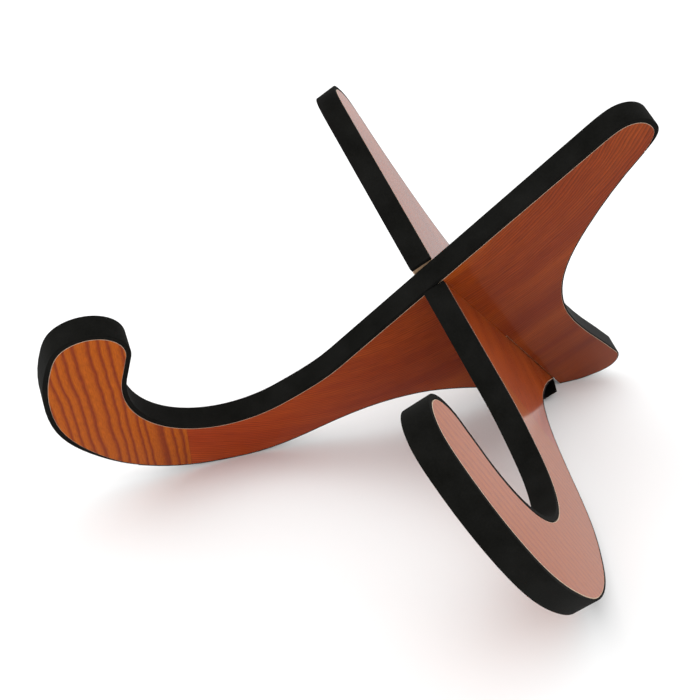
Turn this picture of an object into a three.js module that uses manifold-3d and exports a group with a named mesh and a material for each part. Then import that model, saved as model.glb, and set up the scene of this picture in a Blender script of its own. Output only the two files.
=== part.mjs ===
// Free-standing, take-apart stand for a small string instrument, such as a ukulele or a violin.
// Two equal flat boards cross at a right angle, each let into the other by a half-lap slot.
// Every board is a hook with a round cradle at the front, a long straight padded edge and an arm
// above, and a heel below. The slots lean forward, so the padded edges make an X that leans back.
// The over board is slotted from its underside and drops over the under board, which is slotted
// from its padded edge.
//
// Each board is drawn flat: x runs along the board towards the hook, y runs up the slots.
// Lengths are in millimetres, angles in degrees.

import * as THREE from 'three';
import { mergeVertices } from 'three/addons/utils/BufferGeometryUtils.js';
import Module from 'manifold-3d';

const BOARD_T = 10;          // finished thickness of a board
const VENEER_T = 0.6;        // each face veneer
const GLUE = 0.2;            // clearance left between pieces that are stuck together
const END_GAP = 0.15;        // half of the gap where one edge strip follows another
const PAD_T = 2.1;           // foam pad, from the board's edge to its outer surface
const TAPE_T = 0.7;          // black edge tape and foot strip, measured the same way
const HOOK_SKIVE = 46;       // length over which a pad thins down to the tape in front of the hook
const TIP_SKIVE = 12;        // the same, at the tip of the arm
const SLOT_PLAY = 0.3;       // clearance on each side of a board in the other board's slot
const PAD_SETBACK = 1.1;     // the arm pad stops this far short of the slot
const FOOT_TONGUE = 15;      // the under board's foot strip runs on this far past its foot
const CROSSING = 90;         // angle between the boards
const FLOOR_SLOPE = 41.8;    // slope of the floor across a board, as it is drawn here

const ARC_STEP = 4;          // largest turn between two points of a curve
const LONGEST_STEP = 30;     // longest chord of a curve

const WOOD = { color: 0xa8491c, roughness: 0.42 };
const FIBREBOARD = { color: 0x8a6b4a, roughness: 0.85 };
const FOAM = { color: 0x1b1b1b, roughness: 0.95 };
const TAPE = { color: 0x141414, roughness: 0.8 };

// ---- The board's outline ----------------------------------------------------------------------
// Counter-clockwise from the slot: [x, y, heading, heading of the next stretch where it differs].
// Between two rows runs a cubic that is a round arc wherever the two headings allow one.

const FOOT_X = 5.5;
const FOOT_Y = 23.32;
const FOOT_BACK_X = -12;
const footBackY = FOOT_Y - (FOOT_X - FOOT_BACK_X) * Math.tan(rad(FLOOR_SLOPE));
const PADDED_SLOPE = 168.2;

const OUTLINE = {
  slot: [0, 157.65, PADDED_SLOPE],
  armEnd: [-86, 175.65, PADDED_SLOPE],
  tipTop: [-95, 176.8, 181],
  tipNose: [-105.7, 165, 270],
  tipRear: [-98.5, 155, 326],
  armBelow: [-88, 149, 328],
  armRoot: [-64, 131, 319],
  waistTop: [-43.2, 107, 300],
  waist: [-33.4, 75, 275],
  waistFoot: [-34.5, 44, 265],
  heelBack: [-38.2, 10, 267],
  heelBottom: [-31, -0.2, 352],
  heelFront: [-20, 2.7, 385],
  footBack: [FOOT_BACK_X, footBackY, 360 + FLOOR_SLOPE],
  footFront: [FOOT_X, FOOT_Y, 360 + FLOOR_SLOPE, 426],
  instep: [7.1, 27.1, 426],
  throat: [29, 67.6, 417],
  neckLow: [45, 88, 403],
  neck: [66, 103, 387],
  neckHigh: [90, 112, 375.5],
  bellyBack: [112, 120.4, 389],
  belly: [134, 139.3, 407],
  hookFront: [151.8, 171, 433],
  hookSide: [154.4, 193, 451],
  hookHigh: [147, 227, 478],
  hookShoulder: [122, 256, 504],
  hookTop: [111.5, 260.5, 540],
  hookLip: [97.5, 246.5, 630],
  hookInner: [101.6, 236.6, 675],
  cradleTop: [112.5, 226.7, 676],
  cradle: [126.8, 193, 630],
  cradleLow: [103.4, 152.5, 570],
  cradleFoot: [86.5, 146.6, 548],
  seat: [56, 145.9, 528.2],
};
const STATIONS = Object.keys(OUTLINE);

function rad(degrees) {
  return THREE.MathUtils.degToRad(degrees);
}

function direction(heading) {
  return new THREE.Vector2(Math.cos(rad(heading)), Math.sin(rad(heading)));
}

// Points from one station to the next, each with its heading; the last point is left to the next
// stretch. Handles of chord / (3 cos^2(turn / 4)) make the cubic follow a circular arc.
function stretch(name, nextName) {
  const [x0, y0, , leaving = OUTLINE[name][2]] = OUTLINE[name];
  const [x3, y3, arriving] = OUTLINE[nextName];
  const start = new THREE.Vector2(x0, y0);
  const end = new THREE.Vector2(x3, y3);
  const turn = THREE.MathUtils.euclideanModulo(arriving - leaving + 180, 360) - 180;
  const chord = start.distanceTo(end);
  const handle = chord / (3 * Math.cos(rad(turn / 4)) ** 2);
  const curve = new THREE.CubicBezierCurve(
    start,
    start.clone().addScaledVector(direction(leaving), handle),
    end.clone().addScaledVector(direction(arriving), -handle),
    end,
  );
  const steps = Math.max(1, Math.ceil(Math.abs(turn) / ARC_STEP), Math.ceil(chord / LONGEST_STEP));
  const samples = [];
  for (let i = 0; i < steps; i += 1) {
    samples.push({ point: curve.getPoint(i / steps), tangent: curve.getTangent(i / steps) });
  }
  return samples;
}

// Points along the outline from one station to another, both included, going round past the slot
// when the second one comes first in the list.
function run(from, to) {
  const first = STATIONS.indexOf(from);
  const count = THREE.MathUtils.euclideanModulo(STATIONS.indexOf(to) - first, STATIONS.length);
  const samples = [];
  for (let i = 0; i < count; i += 1) {
    const here = (first + i) % STATIONS.length;
    samples.push(...stretch(STATIONS[here], STATIONS[(here + 1) % STATIONS.length]));
  }
  const [x, y, arriving] = OUTLINE[to];
  samples.push({ point: new THREE.Vector2(x, y), tangent: direction(arriving) });
  return samples;
}

function offset({ point, tangent }, distance) {
  return new THREE.Vector2(point.x + tangent.y * distance, point.y - tangent.x * distance);
}

// ---- Solids -----------------------------------------------------------------------------------

const manifold = await Module();
manifold.setup();

function toManifold(geometry) {
  const bare = geometry.clone();
  bare.deleteAttribute('normal');
  bare.deleteAttribute('uv');
  const merged = mergeVertices(bare, 1e-4);
  return new manifold.Manifold(new manifold.Mesh({
    numProp: 3,
    vertProperties: new Float32Array(merged.attributes.position.array),
    triVerts: new Uint32Array(merged.index.array),
  }));
}

function cut(geometry, tool) {
  const { vertProperties, triVerts } = toManifold(geometry).subtract(toManifold(tool)).getMesh();
  const result = new THREE.BufferGeometry();
  result.setAttribute('position', new THREE.BufferAttribute(vertProperties, 3));
  result.setIndex(new THREE.BufferAttribute(triVerts, 1));
  return result;
}

function extrude(points, thickness, middle = 0) {
  const geometry = new THREE.ExtrudeGeometry(new THREE.Shape(points), {
    depth: thickness,
    bevelEnabled: false,
  });
  return geometry.translate(0, 0, middle - thickness / 2);
}

function plate(thickness, middle) {
  const samples = run('slot', 'seat');
  return extrude(samples.map(({ point }) => point), thickness, middle);
}

// A strip stuck to the edge of the board. thicknessAt gives its outer surface from the distance
// already run along the edge and the distance still to go; tongue carries it straight on past its
// last station.
function strip(from, to, thicknessAt, tongue = 0) {
  const samples = run(from, to);
  const last = samples[samples.length - 1];
  samples[0].point.addScaledVector(samples[0].tangent, END_GAP);
  last.point.addScaledVector(last.tangent, tongue > 0 ? tongue : -END_GAP);
  const along = [0];
  for (let i = 1; i < samples.length; i += 1) {
    along.push(along[i - 1] + samples[i].point.distanceTo(samples[i - 1].point));
  }
  const total = along[along.length - 1];
  const inner = samples.map((sample) => offset(sample, GLUE));
  const outer = samples.map((sample, i) => (
    offset(sample, thicknessAt(along[i], total - along[i]))
  ));
  return extrude([...outer, ...inner.reverse()], BOARD_T);
}

const tapeThickness = () => TAPE_T;

function skive(distance, length) {
  return THREE.MathUtils.smoothstep(distance, 0, length);
}

function hookPadThickness(along) {
  return THREE.MathUtils.lerp(TAPE_T, PAD_T, skive(along, HOOK_SKIVE));
}

function armPadThickness(along, toGo) {
  return THREE.MathUtils.lerp(TAPE_T, PAD_T, skive(toGo, TIP_SKIVE));
}

function fullPadThickness(along, toGo) {
  return Math.min(hookPadThickness(along), armPadThickness(along, toGo));
}

// A box that clears the slot between two heights, wide enough for the other board and its play.
const slotHalf = BOARD_T / 2 + SLOT_PLAY;
const footAtSlot = FOOT_Y - FOOT_X * Math.tan(rad(FLOOR_SLOPE));
const slotMiddle = (OUTLINE.slot[1] + footAtSlot) / 2;
const BEYOND = 60;

function slotBox(low, high, left = slotHalf, right = slotHalf) {
  const box = new THREE.BoxGeometry(left + right, high - low, 2 * BOARD_T);
  return box.translate((right - left) / 2, (low + high) / 2, 0);
}

const slotFromBelow = slotBox(footAtSlot - BEYOND, slotMiddle + SLOT_PLAY);
const slotFromAbove = slotBox(slotMiddle, OUTLINE.slot[1] + BEYOND);

// ---- Sub-parts --------------------------------------------------------------------------------

function piece(name, geometry, look) {
  const mesh = new THREE.Mesh(geometry, new THREE.MeshStandardMaterial({ ...look, metalness: 0 }));
  mesh.name = name;
  return mesh;
}

// The core and its two face veneers. On either board, the right veneer is on the face that is
// turned towards +X once the board is in its place.
function boardPlies(prefix, slot) {
  const coreT = BOARD_T - 2 * (VENEER_T + GLUE);
  const veneerMiddle = (BOARD_T - VENEER_T) / 2;
  return [
    piece(`${prefix}_core`, cut(plate(coreT, 0), slot), FIBREBOARD),
    piece(`${prefix}_right_veneer`, cut(plate(VENEER_T, -veneerMiddle), slot), WOOD),
    piece(`${prefix}_left_veneer`, cut(plate(VENEER_T, veneerMiddle), slot), WOOD),
  ];
}

// The thin tapes that both boards carry on their bare edges.
function boardTapes(prefix) {
  return [
    piece(`${prefix}_belly_tape`, strip('instep', 'hookFront', tapeThickness), TAPE),
    piece(`${prefix}_rear_tape`, strip('tipRear', 'heelBack', tapeThickness), TAPE),
  ];
}

function overBoard() {
  const board = new THREE.Group();
  const footStrip = strip('heelBack', 'footFront', tapeThickness);
  const footSlot = slotBox(footAtSlot - BEYOND, slotMiddle, slotHalf, BOARD_T);
  board.add(
    ...boardPlies('over_board', slotFromBelow),
    piece('over_board_pad', strip('hookFront', 'tipRear', fullPadThickness), FOAM),
    ...boardTapes('over_board'),
    piece('over_board_foot_strip', cut(footStrip, footSlot), TAPE),
  );
  return board;
}

function underBoard() {
  const board = new THREE.Group();
  const cradlePad = strip('hookFront', 'slot', hookPadThickness);
  const armPad = strip('slot', 'tipRear', armPadThickness);
  const armSlot = slotBox(slotMiddle, OUTLINE.slot[1] + BEYOND, slotHalf + PAD_SETBACK);
  board.add(
    ...boardPlies('under_board', slotFromAbove),
    piece('under_board_cradle_pad', cut(cradlePad, slotFromAbove), FOAM),
    piece('under_board_arm_pad', cut(armPad, armSlot), FOAM),
    ...boardTapes('under_board'),
    piece(
      'under_board_foot_strip',
      strip('heelBack', 'footFront', tapeThickness, FOOT_TONGUE),
      TAPE,
    ),
  );
  return board;
}

// ---- Assembly ---------------------------------------------------------------------------------
// Both boards stand on the slot axis, turned half the crossing angle to either side of the front,
// which is -Y. The whole is then leaned until hooks and feet share one floor.

function place(board, turn) {
  board.rotation.set(Math.PI / 2, 0, rad(turn), 'ZYX');
  return board;
}

const lean = Math.atan(Math.tan(rad(FLOOR_SLOPE)) / Math.cos(rad(CROSSING / 2)));

const stand = new THREE.Group();
stand.add(
  place(overBoard(), -90 - CROSSING / 2),
  place(underBoard(), -90 + CROSSING / 2),
);
stand.rotation.x = lean;
stand.updateMatrixWorld(true);

const bounds = new THREE.Box3().setFromObject(stand, true);
const middle = bounds.getCenter(new THREE.Vector3());
stand.position.set(-middle.x, -middle.y, -bounds.min.z);

export default stand;
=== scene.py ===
# Free-standing stand for a small string instrument: two crossed boards of lacquered veneer with
# black foam on their edges. Lengths in the shaders are in millimetres of the board's own plane.

import math

import bmesh
import bpy
import numpy as np
from mathutils import Matrix, Vector
from mathutils.bvhtree import BVHTree


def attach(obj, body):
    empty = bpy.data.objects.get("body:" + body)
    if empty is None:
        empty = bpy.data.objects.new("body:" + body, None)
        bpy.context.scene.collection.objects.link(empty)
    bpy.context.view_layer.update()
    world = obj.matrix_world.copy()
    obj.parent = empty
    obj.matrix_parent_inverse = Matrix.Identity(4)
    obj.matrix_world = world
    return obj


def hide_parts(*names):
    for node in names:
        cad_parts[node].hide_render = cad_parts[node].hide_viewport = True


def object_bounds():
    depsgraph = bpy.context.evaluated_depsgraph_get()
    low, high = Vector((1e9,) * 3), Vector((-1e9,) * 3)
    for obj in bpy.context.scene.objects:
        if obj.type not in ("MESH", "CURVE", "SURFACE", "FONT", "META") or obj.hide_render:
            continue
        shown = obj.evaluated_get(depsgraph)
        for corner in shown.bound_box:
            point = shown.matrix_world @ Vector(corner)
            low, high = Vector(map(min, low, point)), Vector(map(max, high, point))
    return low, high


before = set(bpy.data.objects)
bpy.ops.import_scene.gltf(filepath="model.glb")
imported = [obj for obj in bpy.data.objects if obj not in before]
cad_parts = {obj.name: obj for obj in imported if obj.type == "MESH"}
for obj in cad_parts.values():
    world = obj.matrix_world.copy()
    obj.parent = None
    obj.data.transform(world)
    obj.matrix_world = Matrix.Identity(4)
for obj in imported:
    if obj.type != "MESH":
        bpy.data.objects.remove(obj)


def corners():
    return [[float(c) for c in corner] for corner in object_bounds()]


cad_box = corners()

FLOOR_SLOPE = math.radians(41.8)     # slope of the floor across a board, in the board's plane
CROSSING = math.radians(90)          # angle between the boards
TIP_TO_SLOT = 0.1057                 # along the board, from the arm's tip to the slot
HOOK_TO_SLOT_FOOT = 0.2605           # up the slots, from their origin to the top of the hook
MM = 1000

scene = bpy.context.scene
scene.view_settings.view_transform = "Standard"


# ---- Board coordinates ------------------------------------------------------------------------

lean = math.atan(math.tan(FLOOR_SLOPE) / math.cos(CROSSING / 2))


class Board:
    """One board's axes in the row frame: along runs to the hook, up runs up the slots."""

    def __init__(self, prefix, side):
        turn = -math.pi / 2 + side * CROSSING / 2
        tilt = Matrix.Rotation(lean, 3, "X")
        self.prefix = prefix
        self.along = tilt @ Vector((math.cos(turn), math.sin(turn), 0))
        self.up = tilt @ Vector((0, 0, 1))
        self.across = self.along.cross(self.up)
        core = [v.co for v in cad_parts[f"{prefix}_core"].data.vertices]
        self.along_zero = min(p.dot(self.along) for p in core) + TIP_TO_SLOT
        self.up_zero = max(p.dot(self.up) for p in core) - HOOK_TO_SLOT_FOOT

    def flat(self, point):
        return (point.dot(self.along) - self.along_zero, point.dot(self.up) - self.up_zero)


BOARDS = [Board("over_board", -1), Board("under_board", 1)]


# ---- Shader helpers ---------------------------------------------------------------------------

class Nodes:
    def __init__(self, name):
        self.material = bpy.data.materials.new(name)
        self.material.use_nodes = True
        self.tree = self.material.node_tree
        self.shader = self.tree.nodes["Principled BSDF"]

    def add(self, kind, inputs=(), **settings):
        node = self.tree.nodes.new(kind)
        for key, value in settings.items():
            setattr(node, key, value)
        for socket, value in dict(inputs).items():
            self.feed(node.inputs[socket], value)
        return node

    def feed(self, socket, value):
        if isinstance(value, bpy.types.NodeSocket):
            self.tree.links.new(value, socket)
        else:
            socket.default_value = value

    def math(self, operation, *values, clamp=False):
        node = self.add("ShaderNodeMath", operation=operation, use_clamp=clamp)
        for socket, value in zip(node.inputs, values):
            self.feed(socket, value)
        return node.outputs[0]

    def flat(self):
        uv = self.add("ShaderNodeUVMap", uv_map="board")
        split = self.add("ShaderNodeSeparateXYZ", {0: uv.outputs[0]})
        return (self.math("MULTIPLY", split.outputs[0], MM),
                self.math("MULTIPLY", split.outputs[1], MM))

    def noise(self, x, y, z, scale=1.0, detail=2.0, roughness=0.5):
        vector = self.add("ShaderNodeCombineXYZ", {0: x, 1: y, 2: z}).outputs[0]
        return self.add("ShaderNodeTexNoise", {"Vector": vector, "Scale": scale,
                        "Detail": detail, "Roughness": roughness}).outputs[0]

    def ramp(self, value, stops):
        node = self.add("ShaderNodeValToRGB", {0: value})
        elements = node.color_ramp.elements
        while len(elements) < len(stops):
            elements.new(0.5)
        for element, (position, color) in zip(elements, stops):
            element.position = position
            element.color = (*color, 1)
        return node.outputs[0]

    def mix(self, factor, a, b, blend="MIX"):
        node = self.add("ShaderNodeMix", data_type="RGBA", blend_type=blend)
        self.feed(node.inputs[0], factor)
        self.feed(node.inputs[6], a)
        self.feed(node.inputs[7], b)
        return node.outputs[2]

    def finish(self, color, roughness, height, distance, strength):
        bump = self.add("ShaderNodeBump", {"Height": height, "Distance": distance,
                                           "Strength": strength})
        self.feed(self.shader.inputs["Base Color"], color)
        self.feed(self.shader.inputs["Roughness"], roughness)
        self.feed(self.shader.inputs["Normal"], bump.outputs[0])
        return self.material


def grey(value):
    return (value, value, value)


# ---- Materials --------------------------------------------------------------------------------

HOOK_GRAIN = math.radians(124)       # direction of the hook's grain, along the splice
HEART = 215.0                        # height of the middle of the body's growth rings
RING = 1.45                          # ring spacing in the body's veneer
HOOK_RING = 4.1                      # the same at the hook


def veneer(name, seed, boldness, splice):
    n = Nodes(name)
    s, y = n.flat()
    across = n.math("ADD", n.math("MULTIPLY", s, math.sin(HOOK_GRAIN)),
                    n.math("MULTIPLY", y, -math.cos(HOOK_GRAIN)))
    along = n.math("ADD", n.math("MULTIPLY", s, math.cos(HOOK_GRAIN)),
                   n.math("MULTIPLY", y, math.sin(HOOK_GRAIN)))
    sway = n.noise(s, y, seed, scale=0.035, detail=2)
    sway = n.math("SUBTRACT", sway, 0.5)

    # The body's rings are flat arcs round the heart; on the arm's side they are flatter.
    arm_side = n.math("MULTIPLY", n.math("MINIMUM", s, 0.0), 0.66)
    side = n.math("ADD", arm_side, n.math("MAXIMUM", s, 0.0))
    below = n.math("SUBTRACT", HEART, y)
    radius = n.math("SQRT", n.math("ADD", n.math("POWER", n.math("ABSOLUTE", side), 2.0),
                                   n.math("POWER", n.math("ABSOLUTE", below), 2.0)))
    round_ = n.math("MULTIPLY", n.math("ARCTAN2", side, below), 110.0)
    body = n.math("ADD", radius, n.math("MULTIPLY", sway, 4.5))
    uneven = n.noise(body, 0.0, seed, scale=0.11, detail=2)
    body_ring = n.math("FRACT", n.math("ADD", n.math("DIVIDE", body, RING),
                                       n.math("MULTIPLY", uneven, 2.5)))
    hook = n.math("ADD", across, n.math("MULTIPLY", sway, 3.6))
    hook_wave = n.noise(n.math("MULTIPLY", across, 0.5), along, seed, scale=0.10, detail=3)
    hook = n.math("ADD", hook, n.math("MULTIPLY", hook_wave, 0.7))
    hook_uneven = n.noise(hook, 0.0, seed + 3, scale=0.09, detail=1)
    hook_ring = n.math("FRACT", n.math("ADD", n.math("DIVIDE", hook, HOOK_RING),
                                       n.math("MULTIPLY", hook_uneven, 2.0)))

    body_tint = n.ramp(n.noise(body, n.math("MULTIPLY", round_, 0.12), seed, scale=0.06, detail=3),
                       [(0.32, (0.215, 0.029, 0.004)), (0.66, (0.310, 0.056, 0.006))])
    body_line = n.ramp(body_ring, [(0.0, grey(0.62)), (0.22, grey(0.78)), (0.6, grey(1.0)),
                                   (0.9, grey(1.15)), (1.0, grey(0.70))])
    body_color = n.mix(1.0, body_tint, body_line, "MULTIPLY")
    # The tone is lighter and redder on the neck. The heel is darkened with painted shade, the shade
    # of the corner where the two boards cross.
    neck = n.math("DIVIDE", s, 110.0, clamp=True)
    painted_heel_shade = n.math("MULTIPLY", n.math("DIVIDE", n.math("SUBTRACT", 120.0, y), 80.0, clamp=True),
                  n.math("DIVIDE", n.math("SUBTRACT", 20.0, s), 40.0, clamp=True))
    body_color = n.mix(neck, body_color, n.mix(1.0, body_color, (1.42, 1.12, 1.0, 1), "MULTIPLY"))
    # Painted shade: the heel is darkened where the crossed boards shade it.
    body_color = n.mix(painted_heel_shade, body_color, n.mix(1.0, body_color, (0.66, 0.60, 0.60, 1), "MULTIPLY"))
    hook_color = n.ramp(hook_ring, [(0.0, (0.205, 0.028, 0.005)), (0.16, (0.235, 0.036, 0.005)),
                                    (0.42, (0.380, 0.078, 0.004)), (0.8, (0.415, 0.090, 0.004)),
                                    (1.0, (0.260, 0.043, 0.005))])
    hook_color = n.mix(boldness, (0.300, 0.060, 0.006, 1), hook_color)

    def fibre(cross, lengthwise, fine, coarse, level):
        return n.noise(n.math("MULTIPLY", cross, fine), n.math("MULTIPLY", lengthwise, coarse),
                       seed + level, scale=1.0, detail=3, roughness=0.6)

    body_fibre = fibre(body, round_, 2.2, 0.10, 5)
    hook_fibre = fibre(hook, along, 3.0, 0.28, 6)
    pores = fibre(body, round_, 4.5, 0.45, 8)
    hook_pores = fibre(hook, along, 4.0, 0.55, 9)

    is_hook = n.math("GREATER_THAN", across, splice)

    def pick(a, b):
        return n.math("ADD", n.math("MULTIPLY", a, n.math("SUBTRACT", 1.0, is_hook)),
                      n.math("MULTIPLY", b, is_hook))

    color = n.mix(is_hook, body_color, hook_color)
    grain = pick(body_fibre, hook_fibre)
    color = n.mix(0.8, color, n.ramp(grain, [(0.3, grey(0.66)), (0.7, grey(1.20))]), "MULTIPLY")
    pore = n.math("SUBTRACT", pick(pores, hook_pores), 0.62, clamp=True)
    pore = n.math("MULTIPLY", pore, 6.0, clamp=True)
    color = n.mix(n.math("MULTIPLY", pore, 0.75), color, (0.075, 0.014, 0.007, 1))
    seam = n.math("ABSOLUTE", n.math("SUBTRACT", across, splice))
    seam = n.math("SUBTRACT", 1.0, n.math("DIVIDE", seam, 0.22), clamp=True)
    color = n.mix(n.math("MULTIPLY", seam, 0.5), color, (0.10, 0.018, 0.008, 1))

    rough = n.math("ADD", 0.36, n.math("MULTIPLY", grain, 0.12))
    height = n.math("SUBTRACT", n.math("MULTIPLY", grain, 0.5), pore)
    n.shader.inputs["Specular IOR Level"].default_value = 0.01
    n.shader.inputs["Coat Weight"].default_value = 1.0
    n.shader.inputs["Coat IOR"].default_value = 1.118
    n.shader.inputs["Coat Roughness"].default_value = 0.11
    return n.finish(color, rough, height, 0.00006, 0.35)


def raw_edge():
    n = Nodes("raw_edge")
    s, y = n.flat()
    speck = n.noise(s, y, 2.0, scale=1.4, detail=4, roughness=0.65)
    color = n.ramp(speck, [(0.3, (0.40, 0.27, 0.18)), (0.7, (0.66, 0.50, 0.37))])
    return n.finish(color, 0.75, speck, 0.00005, 0.5)


def fibreboard():
    n = Nodes("fibreboard")
    s, y = n.flat()
    speck = n.noise(s, y, 6.0, scale=2.2, detail=5, roughness=0.7)
    color = n.ramp(speck, [(0.3, (0.17, 0.100, 0.052)), (0.7, (0.31, 0.200, 0.115))])
    return n.finish(color, 0.88, speck, 0.0001, 0.6)


def foam():
    n = Nodes("foam")
    where = n.add("ShaderNodeTexCoord").outputs["Object"]
    cells = n.add("ShaderNodeTexNoise", {"Vector": where, "Scale": 1500.0, "Detail": 3.0,
                                         "Roughness": 0.7}).outputs[0]
    scuffs = n.add("ShaderNodeTexNoise", {"Vector": where, "Scale": 70.0, "Detail": 4.0,
                                          "Roughness": 0.6}).outputs[0]
    color = n.ramp(n.math("ADD", n.math("MULTIPLY", scuffs, 0.65), n.math("MULTIPLY", cells, 0.35)),
                   [(0.32, (0.0028, 0.0028, 0.0022)), (0.70, (0.0090, 0.0090, 0.0082))])
    rough = n.math("ADD", 0.80, n.math("MULTIPLY", scuffs, 0.18))
    n.shader.inputs["Specular IOR Level"].default_value = 0.03
    n.shader.inputs["Sheen Weight"].default_value = 0.01
    n.shader.inputs["Sheen Roughness"].default_value = 0.5
    return n.finish(color, rough, n.math("ADD", cells, n.math("MULTIPLY", scuffs, 0.5)),
                    0.00015, 0.5)


def edge_tape():
    n = Nodes("edge_tape")
    where = n.add("ShaderNodeTexCoord").outputs["Object"]
    weave = n.add("ShaderNodeTexNoise", {"Vector": where, "Scale": 900.0, "Detail": 3.0,
                                         "Roughness": 0.6}).outputs[0]
    color = n.ramp(weave, [(0.3, (0.0026, 0.0024, 0.0020)), (0.7, (0.0065, 0.0060, 0.0052))])
    rough = n.math("ADD", 0.55, n.math("MULTIPLY", weave, 0.25))
    n.shader.inputs["Specular IOR Level"].default_value = 0.06
    return n.finish(color, rough, weave, 0.00008, 0.4)


RAW_EDGE, FIBREBOARD, FOAM, TAPE = raw_edge(), fibreboard(), foam(), edge_tape()


# ---- Pieces -----------------------------------------------------------------------------------

PADS = {"over_board": ["pad"], "under_board": ["cradle_pad", "arm_pad"]}
PAD_EASING = 0.0003                  # less than a pad is thick at its thin end
TAPE_EASING = 0.0002
ARRIS = 0.00026                      # width of the eased edge round a veneer
SPLIT_POINTS = 2e-6                  # points nearer than this are the same point
FLAT_ENOUGH = math.radians(0.4)      # faces that turn less than this are one flat face
SHARP = math.radians(32)
BOARD_SIDE = 0.999                   # how squarely a flat-shaded face looks out of its board
OUTER_SIDE = 0.00045                 # an outer strip face is at least this far from the core


def solid(node):
    """The node's mesh with its split points joined and its flat faces whole."""
    mesh = bmesh.new()
    mesh.from_mesh(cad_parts[node].data)
    bmesh.ops.remove_doubles(mesh, verts=mesh.verts, dist=SPLIT_POINTS)
    bmesh.ops.dissolve_limit(mesh, angle_limit=FLAT_ENOUGH, verts=mesh.verts,
                             edges=mesh.edges)
    return mesh


def finish_piece(mesh, board, name, node, materials):
    uv = mesh.loops.layers.uv.new("board")
    for face in mesh.faces:
        for loop in face.loops:
            loop[uv].uv = board.flat(loop.vert.co)
    bmesh.ops.triangulate(mesh, faces=[f for f in mesh.faces if len(f.verts) > 4])
    data = bpy.data.meshes.new(name)
    mesh.to_mesh(data)
    mesh.free()
    for material in materials:
        data.materials.append(material)
    data.set_sharp_from_angle(angle=SHARP)
    for polygon in data.polygons:
        polygon.use_smooth = abs(polygon.normal.dot(board.across)) < BOARD_SIDE
    piece = bpy.data.objects.new(name, data)
    scene.collection.objects.link(piece)
    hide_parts(node)
    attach(piece, board.prefix)
    return piece


def make_veneer(board, side, seed, boldness, splice):
    """A face veneer whose arris is eased, so that a hairline of bare wood shows round the face."""
    node = f"{board.prefix}_{side}_veneer"
    mesh = solid(node)
    mesh.normal_update()
    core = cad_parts[f"{board.prefix}_core"].data.vertices
    core_depth = np.mean([v.co.dot(board.across) for v in core])
    outward = 1 if np.mean([v.co.dot(board.across) for v in mesh.verts]) > core_depth else -1
    outer = [f for f in mesh.faces if f.normal.dot(board.across) * outward > 0.9]
    rim = [e for e in mesh.edges if sum(f in outer for f in e.link_faces) == 1]
    bmesh.ops.bevel(mesh, geom=rim, offset=ARRIS, segments=2, profile=0.5, affect="EDGES",
                    clamp_overlap=True)
    mesh.normal_update()
    for face in mesh.faces:
        face.material_index = 0 if abs(face.normal.dot(board.across)) > 0.995 else 1
    return finish_piece(mesh, board, f"{node}_lacquered", node,
                        [veneer(f"{node}_wood", seed, boldness, splice), RAW_EDGE])


def make_strip(board, kind, soft, easing):
    """An edge strip with its outer corners eased. Its inner side stays flat on the board."""
    node = f"{board.prefix}_{kind}"
    mesh = solid(node)
    mesh.normal_update()
    core = bmesh.new()
    core.from_mesh(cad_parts[f"{board.prefix}_core"].data)
    tree = BVHTree.FromBMesh(core)
    core.free()

    def is_outer(face):
        if abs(face.normal.dot(board.across)) > 0.5:
            return False
        return tree.find_nearest(face.calc_center_median())[3] > OUTER_SIDE

    rim = [e for e in mesh.edges if len(e.link_faces) == 2
           and any(abs(f.normal.dot(board.across)) > 0.9 for f in e.link_faces)
           and any(is_outer(f) for f in e.link_faces)]
    bmesh.ops.bevel(mesh, geom=rim, offset=easing, segments=3, profile=0.5, affect="EDGES",
                    clamp_overlap=True)
    piece = finish_piece(mesh, board, f"{node}_{'foam' if soft else 'tape'}", node,
                         [FOAM if soft else TAPE])
    weighted = piece.modifiers.new("flat_faces", "WEIGHTED_NORMAL")
    weighted.weight = 100
    weighted.keep_sharp = True
    return piece


def make_core(board):
    node = f"{board.prefix}_core"
    return finish_piece(solid(node), board, f"{node}_board", node, [FIBREBOARD])


FIGURE = (1.0, 0.3)                  # how bold the hook's figure is on each board
SPLICE = (198.2, 122.0)              # across the hook's grain, where its veneer meets the body's

for index, board in enumerate(BOARDS):
    make_core(board)
    look = FIGURE[index], SPLICE[index]
    make_veneer(board, "right", 11.0 + 20 * index, *look)
    make_veneer(board, "left", 17.0 + 20 * index, *look)
    for kind in PADS[board.prefix]:
        make_strip(board, kind, True, PAD_EASING)
    for kind in ("belly_tape", "rear_tape", "foot_strip"):
        make_strip(board, kind, False, TAPE_EASING)


# ---- Floor, light and camera ------------------------------------------------------------------

low, high = (Vector(c) for c in cad_box)
centre = (low + high) / 2

REACH = 15.0                         # from the middle of the floor to its sides
BELOW = 0.0002                       # the floor is this far under the feet
WORLD_LIGHT = 1.24

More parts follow.
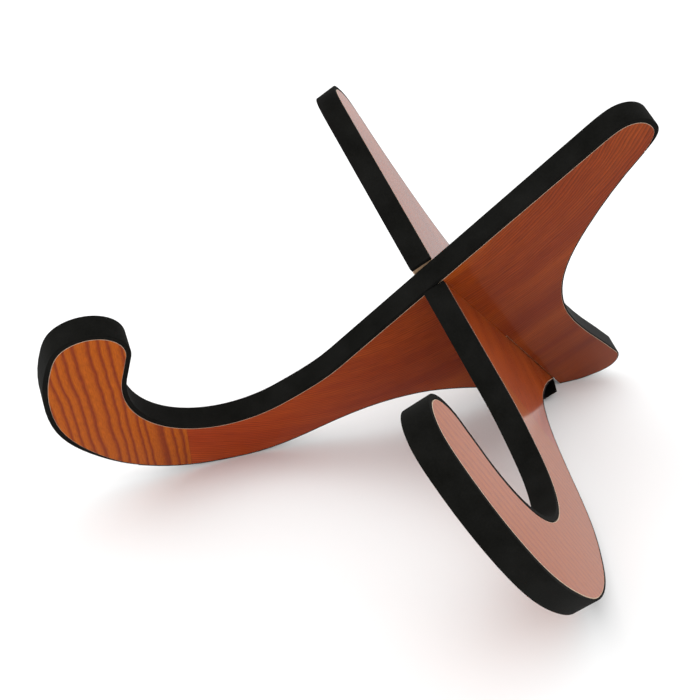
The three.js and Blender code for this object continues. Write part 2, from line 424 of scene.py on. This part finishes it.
floor_mesh = bpy.data.meshes.new("floor")
floor_mesh.from_pydata([(x, y, low.z - BELOW) for x, y in
                        ((-REACH, -REACH), (REACH, -REACH), (REACH, REACH), (-REACH, REACH))],
                       [], [(0, 1, 2, 3)])
floor = bpy.data.objects.new("floor", floor_mesh)
scene.collection.objects.link(floor)
paint = bpy.data.materials.new("floor_paint")
paint.use_nodes = True
paint.node_tree.nodes["Principled BSDF"].inputs["Base Color"].default_value = (0.90, 0.90, 0.90, 1)
paint.node_tree.nodes["Principled BSDF"].inputs["Roughness"].default_value = 0.9
paint.node_tree.nodes["Principled BSDF"].inputs["Specular IOR Level"].default_value = 0.1
floor_mesh.materials.append(paint)

world = bpy.data.worlds.new("studio")
scene.world = world
world.use_nodes = True
world.node_tree.nodes["Background"].inputs[0].default_value = (1, 1, 1, 1)
world.node_tree.nodes["Background"].inputs[1].default_value = WORLD_LIGHT


def softbox(name, offset, size, power):
    light = bpy.data.lights.new(name, "AREA")
    light.shape = "DISK"
    light.size = size
    light.energy = power
    lamp = bpy.data.objects.new(name, light)
    lamp.location = centre + Vector(offset)
    lamp.rotation_euler = (-Vector(offset)).to_track_quat("-Z", "Y").to_euler()
    scene.collection.objects.link(lamp)


softbox("key", (0.9, -1.0, 1.5), 1.4, 5)
softbox("fill", (-1.3, -0.5, 1.3), 1.6, 4)

# The camera stands to the right of the front, above the stand and close to it.
CAMERA_PLACE = Vector((0.22863, -0.36636, 0.22941))
CAMERA_AZIMUTH = math.radians(36.789)       # from the front, towards the right
CAMERA_DOWN = math.radians(21.652)          # how far it looks down
CAMERA_ROLL = math.radians(-3.019)
CAMERA_LENS = 55.46
camera_data = bpy.data.cameras.new("camera")
camera_data.sensor_width = 36
camera_data.lens = CAMERA_LENS
camera_data.clip_start = 0.01
camera_data.clip_end = 100
camera = bpy.data.objects.new("camera", camera_data)
camera.matrix_world = (Matrix.Translation(CAMERA_PLACE)
                       @ Matrix.Rotation(CAMERA_AZIMUTH, 4, "Z")
                       @ Matrix.Rotation(math.pi / 2 - CAMERA_DOWN, 4, "X")
                       @ Matrix.Rotation(CAMERA_ROLL, 4, "Z"))
scene.collection.objects.link(camera)
scene.camera = camera

bpy.context.view_layer.update()
